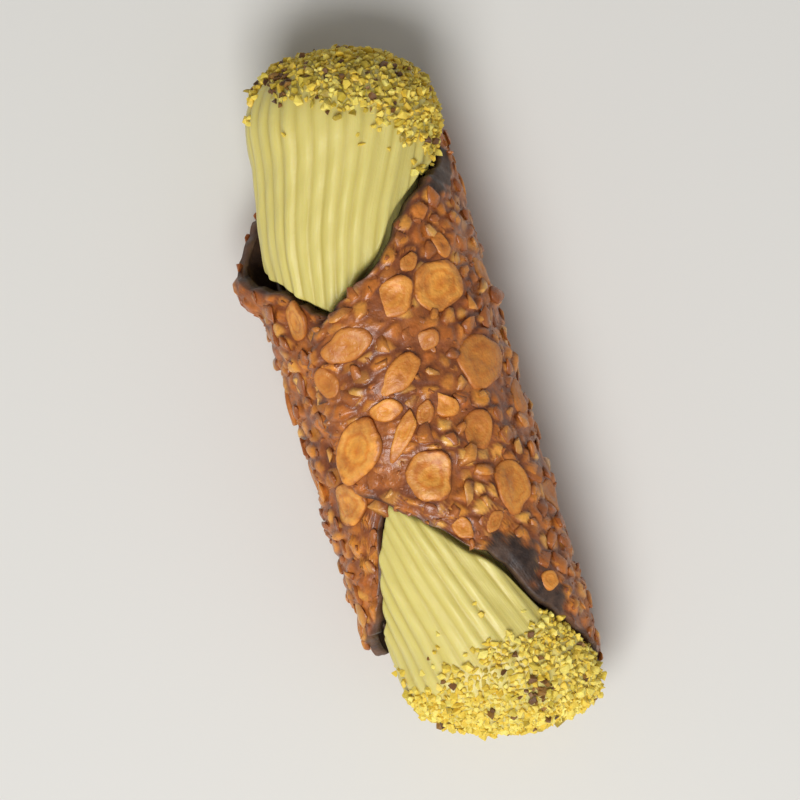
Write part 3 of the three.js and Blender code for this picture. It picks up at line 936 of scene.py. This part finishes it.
def laid_copy(verts, draw, scale, lean):
    """A prototype spun about its own upright, leaning a little."""
    tilt = Matrix.Rotation(draw.gauss(0, lean), 3, "X") @ Matrix.Rotation(draw.gauss(0, lean), 3, "Y")
    turn = np.array(tilt @ Matrix.Rotation(draw.uniform(0, 2 * math.pi), 3, "Z"))
    return verts @ turn.T * scale


chip_draw = random.Random(17)
flake_kinds = [rough_hull(chip_draw, 13, (0.52, 0.4, 0.18), 0.07) for _ in range(14)]
chip_kinds = [rough_hull(chip_draw, 9, (0.56, 0.44, 0.32), 0.09) for _ in range(12)]
print("kinds of flake and of chip:", len(flake_kinds), len(chip_kinds))

# %% Where flakes and chips lie
FLAKE_SIZES, FLAKE_SPACING, FLAKE_SHARE = (2.2, 4.6), 0.33, 0.9
CHIP_SIZES, CHIP_SPACING, CHIP_TRIES = (1.0, 2.2), 0.43, 9000
FLAT_UNDERSIDE = 5


def free_of_slices(wrap, along, size):
    here = np.array([wrap]), np.array([along])
    if slice_distance(*here)[0] < 0.96 + 0.1 * size or abs(wrap - UNDERSIDE) < FLAT_UNDERSIDE:
        return False
    return smear_share(*here)[0] < 0.3 and covered_share(*here)[0] < 0.02


def clear_of(chips, wrap, along, size, spacing):
    return all(math.hypot(c[0] - wrap, c[1] - along) > spacing * (c[2] + size) for c in chips)


chips = []
for (seed_wrap, seed_along), height in zip(seeds, seed_height):
    reach = float(lip_reach(np.array([seed_wrap]), "far" if seed_along > 0 else "near")[0])
    if abs(seed_wrap) > FLAP_END - 0.8 or abs(seed_along) > reach - 0.5:
        continue
    size = blend(*FLAKE_SIZES, chip_draw.random() ** 1.6)
    roomy = clear_of(chips, seed_wrap, seed_along, size, FLAKE_SPACING)
    if roomy and chip_draw.random() < FLAKE_SHARE and free_of_slices(seed_wrap, seed_along, size):
        chips.append((seed_wrap, seed_along, size, "flake"))
flake_count = len(chips)
for _ in range(CHIP_TRIES):
    u, v = chip_draw.uniform(-0.985, 0.985), chip_draw.uniform(-0.985, 0.985)
    chip_wrap, chip_along, _ = (float(n[0]) for n in on_sheet(np.array([u]), np.array([v])))
    size = blend(*CHIP_SIZES, chip_draw.random() ** 1.5)
    roomy = clear_of(chips, chip_wrap, chip_along, size, CHIP_SPACING)
    if roomy and free_of_slices(chip_wrap, chip_along, size):
        chips.append((chip_wrap, chip_along, size, "chip"))
print("flakes:", flake_count, "chips:", len(chips) - flake_count)

# %% Flakes and chips
parts, tints, bare = [], [], []
for chip_wrap, chip_along, size, kind in chips:
    relief = float(brittle_relief(np.array([chip_wrap]), np.array([chip_along]))[0][0])
    bare_height = surface(chip_wrap, chip_along) + relief
    if kind == "flake":
        verts, faces = chip_draw.choice(flake_kinds)
        local = laid_copy(verts, chip_draw, size, 0.12)
        base = bare_height - 0.055 * size
    else:
        verts, faces = chip_draw.choice(chip_kinds)
        local = turned_copy(verts, chip_draw, size) * (1, 1, 0.8)
        base = bare_height - 0.12 * size
    parts.append((on_roll(chip_wrap, chip_along, base, local), faces))
    tints.append(blend(0.1, 1.0 if kind == "flake" else 0.7, chip_draw.random()))
    bare.append(smoothstep(base + local[:, 2] - bare_height, -0.05, 0.32))
chips_mesh, owner = joined("nut_chips", parts)
write_numbers(chips_mesh, "tint", np.array(tints)[owner])
write_numbers(chips_mesh, "bare", np.concatenate(bare))
finish_piece("nut_chips", chips_mesh, chip_material)

# %% [markdown]
# ## Chocolate lining
#
# Melted chocolate is swilled round the inside of the roll before it is filled, and a thick coat stays
# there. It is a ring whose profile is spun round the axis and then fitted under the brittle: its ends
# follow the lips, a little inside them, and its edge is a soft bead.


# %% Rules of the inside
def wound(turn):
    return np.arctan2(np.sin(turn), np.cos(turn))


def cover_reach(turn, end):
    """How far the brittle reaches at a turn from the seam."""
    turn = wound(turn)
    wrap = ROLL_RADIUS * (math.pi - np.abs(turn))
    return lip_reach(np.where(turn < 0, -wrap, wrap), end)


def inner_face(turn):
    turn = wound(turn)
    inward = smoothstep(turn, -1.02, -0.36) * (1 - smoothstep(turn, 0.42, 0.8))
    return ROLL_RADIUS - BRITTLE / 2 + stand_off(turn) - FLAP_DIP * inward


# %% Chocolate material
chocolate_material, tree, shader = blank_material("dark_chocolate")
lining_colour = ramp(tree, noise(tree, 2.5), [(0.35, CHOCOLATE_DARK), (0.7, CHOCOLATE_LIGHT)])
link(tree, lining_colour, shader, "Base Color")
link(tree, stretched(tree, noise(tree, 1.8), 0.3, 0.7, 0.3, 0.5), shader, "Roughness")
set_shader(shader, Coat_Weight=0.1, Coat_Roughness=0.2)
bumped(tree, shader, [(noise(tree, 1.6, 3.0), 0.15), (noise(tree, 0.4, 2.0), 0.03)])
print("chocolate material nodes:", len(tree.nodes))

# %% The lining
LINING, LINING_GAP, LINING_SHORT = 0.8, 0.18, 0.5
LINING_STEPS = 160
# Share of the lining's depth, from its inside out, and share of its reach
LINING_PROFILE = [
    (1.0, -0.5),
    (1.0, 0.5),
    (0.97, 0.985),
    (0.5, 1.0),
    (0.03, 0.985),
    (0.0, 0.5),
    (0.0, -0.5),
    (0.03, -0.985),
    (0.5, -1.0),
    (0.97, -0.985),
    (1.0, -0.5),
]
lining = lathe([(1 + depth, reach) for depth, reach in LINING_PROFILE], LINING_STEPS)
flat = np.array([v.co[:] for v in lining.verts])
turn = np.arctan2(flat[:, 1], flat[:, 0])
depth = np.hypot(flat[:, 0], flat[:, 1]) - 1
# The least reach of the brittle round about, so that no lining shows beside a steep lip
nearby = []
for beside in (-0.1, 0, 0.1):
    far_reach, near_reach = cover_reach(turn + beside, "far"), cover_reach(turn + beside, "near")
    nearby.append(np.where(flat[:, 2] > 0, far_reach, near_reach))
reach = np.min(nearby, axis=0)
reach -= LINING_SHORT + 0.8 * smoothstep(-np.sin(turn), -0.1, 0.5)
reach -= 0.25 * np.sin(7 * turn + 1.0) * np.sin(3 * turn)
radius = inner_face(turn) - LINING_GAP - LINING * (1 - depth)
place_vertices(
    lining,
    np.stack(
        [
            radius * np.sin(turn - SEAM_TURN) + AXIS_SIDE,
            flat[:, 2] * reach + AXIS_ALONG,
            radius * np.cos(turn - SEAM_TURN) + AXIS_HEIGHT,
        ],
        axis=-1,
    ),
)
finish_piece(
    "chocolate_lining",
    mesh_of(lining, "chocolate_lining"),
    chocolate_material,
    ["chocolate_lining"],
)

# %% [markdown]
# ## Pistachio cream
#
# The cream leaves a star-shaped nozzle, so it is ribbed along its length. The ribs gather at the V of
# each mouth and fan out to the blunt end. One lathe makes the whole plug: every profile point is a row
# and carries its number, and the rules below say where a row lies at each turn. The rows stand close
# together where the cream swells past the lip, and a rib has ten columns, so its groove is crisp.

# %% The cream's numbers
CREAM_RADIUS, CREAM_SAG = 12.6, 1.6
SWELL, LIP_CLEARANCE = 0.9, 0.3
SHOULDER, SHOULDER_PAST_LIP = 33.6, 1.9
TIP = {"far": 44, "near": 43.2}
DOME_BLUNTNESS = 2.2
SKEW = {"far": -0.13, "near": 0.2}
ASIDE, ASIDE_FROM, ASIDE_TO = {"far": 1.6, "near": 0.4}, 20, 35
BULGE, BULGE_FROM, BULGE_TO = 1.0, 20, 34
RIDGES, RIDGE_DEPTH = 32, 0.27
FAN_FROM, FAN_TO, FAN_TWIST, FAN_GATHER = 12, 43, math.radians(40), 0.4
SWELL_ROWS, BARREL_ROWS, DOME_ROWS = 8, 36, 22
ROWS = 2 + SWELL_ROWS + BARREL_ROWS + DOME_ROWS
print("rows of the plug:", 2 * (ROWS + 1))


# %% Rules of the cream
def openness(turn):
    return 0.5 + 0.5 * np.cos(turn - SEAM_TURN)


def cream_radius(turn):
    return CREAM_RADIUS - CREAM_SAG * (1 - openness(turn)) ** 1.5


def cream_row(row, turn, end):
    """Radius, place along and ridge share of the cream, for rows 0 (deep inside) to ROWS (tip)."""
    tucked = inner_face(turn) - 2 * LINING_GAP - LINING
    lip_edge = cover_reach(turn, end) + LIP_CLEARANCE
    open_from = lip_edge + SWELL * openness(turn) + 0.2
    shoulder = np.maximum(SHOULDER, cover_reach(turn, end) + SHOULDER_PAST_LIP)
    full = cream_radius(turn)
    swell = np.clip((row - 1) / SWELL_ROWS, 0, 1)
    barrel = np.clip((row - 1 - SWELL_ROWS) / BARREL_ROWS, 0, 1)
    lean = 0.5 * math.pi * np.clip((row - 1 - SWELL_ROWS - BARREL_ROWS) / (DOME_ROWS + 1), 0, 1)
    power = 2 / DOME_BLUNTNESS
    bulge = np.sin(swell * math.pi / 2) ** 0.9
    radius = blend(tucked, 0.97 * full, bulge)
    radius = np.where(barrel > 0, blend(0.97, 1.0, barrel) * full, radius)
    radius = np.where(lean > 0, full * np.clip(np.cos(lean), 0, 1) ** power, radius)
    along = blend(lip_edge, open_from, 1 - np.cos(swell * math.pi / 2))
    along = np.where(row < 1, 0.5 * lip_edge, along)
    along = np.where(barrel > 0, blend(open_from, shoulder, barrel), along)
    along = np.where(lean > 0, blend(shoulder, TIP[end], np.sin(lean) ** power), along)
    leftness = np.maximum(0, -np.sin(turn - SEAM_TURN)) * swell * (lean == 0)
    radius = radius + BULGE * leftness * (1 - smoothstep(along, BULGE_FROM, BULGE_TO))
    return radius, along, swell * np.cos(lean)


# %% Rules of its ribs
def fanned(turn, along):
    share = np.clip((along - FAN_FROM) / (FAN_TO - FAN_FROM), 0, 1)
    return turn - FAN_GATHER * (1 - share) * np.sin(turn) + FAN_TWIST * share


rib_rng = np.random.default_rng(23)
rib_height = rib_rng.normal(0, 0.1, RIDGES)
rib_depth = rib_rng.uniform(0.55, 1.3, RIDGES)


def rib_drop(turn, along):
    """How far the surface lies under the crests, and how deep in a groove it is, 0 to 1."""
    phase = RIDGES * turn / (2 * math.pi)
    rib = np.round(phase).astype(int) % RIDGES
    groove = blend(np.sin(math.pi * phase) ** 2, 1 - np.abs(np.cos(math.pi * phase)), 0.6)
    uneven = 0.06 * np.sin(0.5 * along + 5 * turn) + 0.04 * np.sin(1.3 * along - 9 * turn)
    crest = 1 - groove
    return RIDGE_DEPTH * rib_depth[rib] * groove**1.15 - (rib_height[rib] + uneven) * crest, groove


def cream_places(row, ridge_turn, end):
    """World places in mm for rows and ridge turns of one end."""
    turn = ridge_turn
    for _ in range(5):
        turn = fanned(ridge_turn, cream_row(row, turn, end)[1])
    radius, along, ridge = cream_row(row, turn, end)
    drop, groove = rib_drop(ridge_turn, along)
    bare = np.maximum(radius - ridge * drop, 0)
    across = bare * np.sin(turn - SEAM_TURN)
    cover = cover_reach(turn, end)
    from_lip = np.clip((along - cover - 2) / (TIP[end] - cover), 0, 1)
    leaning = (along + SKEW[end] * across * from_lip) * LIPS[end]["sign"]
    aside = ASIDE[end] * smoothstep(along, ASIDE_FROM, ASIDE_TO) * np.clip((row - 1) / SWELL_ROWS, 0, 1)
    x = across + AXIS_SIDE + aside
    z = bare * np.cos(turn - SEAM_TURN) + AXIS_HEIGHT
    return np.stack([x, leaning + AXIS_ALONG, z], axis=-1), groove * ridge


# %% Cream material
cream_material, tree, shader = blank_material("pistachio_cream")
strand = node(
    tree,
    "CombineXYZ",
    {"X": read_number(tree, "strand"), "Y": read_number(tree, "length")},
).outputs["Vector"]
# The strand attribute is in mm already, so its noise is undone from metres
streaks = noise(tree, 1.1 / MM, 3.0, 0.6, vector=strand)
# Painted shade: the grooves between the ribs are coloured darker and greener than the crests, for the
# shade that falls in them
base = ramp(
    tree,
    read_number(tree, "groove"),
    [(0.0, tone(227, 212, 126)), (0.5, tone(220, 204, 114)), (1.0, tone(200, 181, 88))],
)
mottle = stretched(tree, noise(tree, 5.0, 3.0), 0.3, 0.7, 0.0, 0.5)
base = mixed(tree, mottle, base, tone(214, 197, 104))
streaked = mixed(tree, stretched(tree, streaks, 0.35, 0.7, 0.0, 0.4), base, tone(234, 221, 142))
link(tree, streaked, shader, "Base Color")
link(tree, stretched(tree, noise(tree, 2.0), 0.3, 0.7, 0.38, 0.52), shader, "Roughness")
set_shader(shader, Coat_Weight=0.12, Coat_Roughness=0.3)
set_shader(shader, Subsurface_Weight=0.3, Subsurface_Scale=0.002, Subsurface_Radius=(1.0, 0.8, 0.35))
bumped(tree, shader, [(streaks, 0.12), (noise(tree, 0.5, 3.0), 0.03)])
print("cream material nodes:", len(tree.nodes))

# %% The plug
COLUMNS_PER_RIDGE = 10
near_rows = [(ROWS - i, "near") for i in range(ROWS + 1)]
far_rows = [(i, "far") for i in range(ROWS + 1)]
all_rows = near_rows + far_rows
last = len(all_rows) - 1
plug_profile = [(0.0 if i in (0, last) else 1.0, i) for i in range(len(all_rows))]
plug = lathe(plug_profile, RIDGES * COLUMNS_PER_RIDGE)
flat = np.array([v.co[:] for v in plug.verts])
row_index = np.round(flat[:, 2]).astype(int)
ridge_turn = np.arctan2(flat[:, 1], flat[:, 0])
row_number = np.array([row for row, _ in all_rows])[row_index]
is_far = np.array([end == "far" for _, end in all_rows])[row_index]
far_places, far_groove_shade = cream_places(row_number, ridge_turn, "far")
near_places, near_groove_shade = cream_places(row_number, ridge_turn, "near")
cream_spots = np.where(is_far[:, None], far_places, near_places)
place_vertices(plug, cream_spots)
# In a fixed order, because spin numbers its faces differently from run to run
plug_faces = sorted(sorted(v.index for v in face.verts) for face in plug.faces)
plug_normals = np.array([v.normal[:] for v in plug.verts])
cream_mesh = mesh_of(plug, "pistachio_cream")
# How deep in a groove each vertex lies, which the material turns into painted shade
write_numbers(cream_mesh, "groove", np.where(is_far, far_groove_shade, near_groove_shade))
write_numbers(cream_mesh, "strand", ridge_turn * CREAM_RADIUS)
# Streaks run along the ribs, so they change slowly that way
write_numbers(cream_mesh, "length", cream_spots[:, 1] * 0.08)
finish_piece("pistachio_cream", cream_mesh, cream_material, ["pistachio_cream"])

# %% [markdown]
# ## Pistachio grain
#
# Both ends are pressed into finely chopped pistachio. The pieces are spread over the cream's own faces,
# past a slanting, curved line, with the odd one short of it, and each is kept a little apart from the
# others. Each end has its own shares of the kinds, and the near end has more yellow and paler pieces:
# that is painted light, for the stronger light on the near end.
# There are three kinds, yellow, green and brown skin, and each kind is one joined mesh with its own
# material, so that the bright and dark specks of the photograph come from real pieces.

# %% Grain materials
GRAIN_TONES = {
    "yellow": [(0.0, tone(232, 194, 64)), (0.5, tone(246, 214, 84)), (1.0, tone(254, 236, 124))],
    "green": [(0.0, tone(178, 152, 48)), (0.5, tone(206, 180, 60)), (1.0, tone(224, 200, 78))],
    "skin": [(0.0, tone(84, 54, 32)), (0.5, tone(122, 82, 42)), (1.0, tone(164, 120, 54))],
}


def grain_material(kind):
    material, tree, shader = blank_material("grain_" + kind)
    colour = ramp(tree, read_number(tree, "tint"), GRAIN_TONES[kind])
    shade = stretched(tree, noise(tree, 0.5, 3.0), 0.3, 0.7, 0.8, 1.1)
    link(tree, shaded(tree, colour, shade), shader, "Base Color")
    link(tree, stretched(tree, noise(tree, 0.7), 0.3, 0.7, 0.45, 0.65), shader, "Roughness")
    set_shader(shader, Subsurface_Weight=0.15, Subsurface_Scale=0.0008, Subsurface_Radius=(1.0, 0.8, 0.3))
    bumped(tree, shader, [(noise(tree, 0.3, 3.0), 0.05)])
    return material


print("kinds of grain:", list(GRAIN_TONES))


# %% Where the grain lies
# Where the border lies on the axis, how it slants across, and how it curves
GRAIN_LINE = {"far": (38.4, -0.6, -0.02), "near": (32.6, -0.32, 0.0)}
GRAIN_SIZES, GRAIN_SPACING = (0.9, 2.1), 0.2
GRAIN_TRIES = 40000


def past_line(spots):
    """How far points lie past the grain's slanting border, in mm."""
    across = spots[:, 0] - AXIS_SIDE
    at, slant, curve = np.where(spots[:, 1:2] > 0, GRAIN_LINE["far"], GRAIN_LINE["near"]).T
    ragged = 0.9 * np.sin(0.9 * across + 0.5 * spots[:, 2]) + 0.5 * np.sin(2.3 * across)
    return np.abs(spots[:, 1] - AXIS_ALONG) - (at + slant * across + curve * across**2) + ragged


corners = np.array([face[:3] for face in plug_faces])
centres = cream_spots[corners].mean(axis=1)
edges_a = cream_spots[corners[:, 1]] - cream_spots[corners[:, 0]]
edges_b = cream_spots[corners[:, 2]] - cream_spots[corners[:, 0]]
areas = np.linalg.norm(np.cross(edges_a, edges_b), axis=1)
past = past_line(centres)
chance = areas * np.clip((past + 0.8) / 1.8, 0, 1) ** 1.3 * (np.abs(centres[:, 1]) > 26)
# The odd piece lands short of the border
chance += areas * 0.008 * (past > -5) * (past < 0.5) * (np.abs(centres[:, 1]) > 22)
chance /= chance.sum()
print("faces that may hold grain:", int((chance > 0).sum()))

# %% Grain that lands clear of what lies there already
grain_rng = np.random.default_rng(41)
tried = grain_rng.choice(len(corners), GRAIN_TRIES, p=chance)
sizes = blend(*GRAIN_SIZES, grain_rng.uniform(0, 1, len(tried)) ** 1.8)
kept, kept_sizes = np.empty((0, 3)), np.empty(0)
kept_faces = []
for face_index, size in zip(tried, sizes):
    spot = centres[face_index]
    if len(kept):
        gaps = np.linalg.norm(kept - spot, axis=1) - GRAIN_SPACING * (kept_sizes + size)
        if gaps.min() < 0:
            continue
    kept = np.vstack([kept, spot])
    kept_sizes = np.append(kept_sizes, size)
    kept_faces.append(face_index)
print("grain pieces:", len(kept))

# %% The grain
# Shares of yellow, then of yellow and green together; the rest is brown skin. The near end's larger
# share of yellow is painted light, for the stronger light on that end.
GRAIN_SHARES = {"far": (0.68, 0.93), "near": (0.84, 0.96)}
# Brown skin lies thick at a few spots of the photograph: x and y in mm
SKIN_SPOTS = np.array([(-2.6, 41.1), (6.4, -38.5)])
SKIN_SPOT_RADIUS, SKIN_SPOT_SHARE = 1.7, 0.75
grain_kinds = [rough_hull(random.Random(60 + i), 10, (0.5, 0.4, 0.34), 0) for i in range(14)]
grain_draw = random.Random(77)
grain_parts = {kind: [] for kind in GRAIN_TONES}
for spot, size, face_index in zip(kept, kept_sizes, kept_faces):
    verts, faces = grain_draw.choice(grain_kinds)
    outward = plug_normals[corners[face_index]].mean(axis=0)
    outward /= np.linalg.norm(outward)
    local = turned_copy(verts, grain_draw, size)
    to_skin = np.linalg.norm(SKIN_SPOTS - spot[:2], axis=1).min()
    on_skin_spot = to_skin < SKIN_SPOT_RADIUS and spot[2] > AXIS_HEIGHT
    pick = 1.0 if on_skin_spot and grain_draw.random() < SKIN_SPOT_SHARE else grain_draw.random()
    yellow, yellow_green = GRAIN_SHARES["far" if spot[1] > 0 else "near"]
    kind = "yellow" if pick < yellow else "green" if pick < yellow_green else "skin"
    grain_parts[kind].append((local + spot + outward * size * grain_draw.uniform(-0.05, 0.28), faces))
for kind in GRAIN_TONES:
    mesh, owner = joined("grain_" + kind, grain_parts[kind])
    # Painted light: the near end's pieces are drawn paler and the far end's darker, for the stronger light
    # on the near end
    near = np.array([verts[0, 1] < 0 for verts, _ in grain_parts[kind]])
    tints = np.array([grain_draw.random() for _ in grain_parts[kind]]) ** np.where(near, 0.7, 1.1)
    write_numbers(mesh, "tint", tints[owner])
    finish_piece("grain_" + kind, mesh, grain_material(kind), smooth=False)
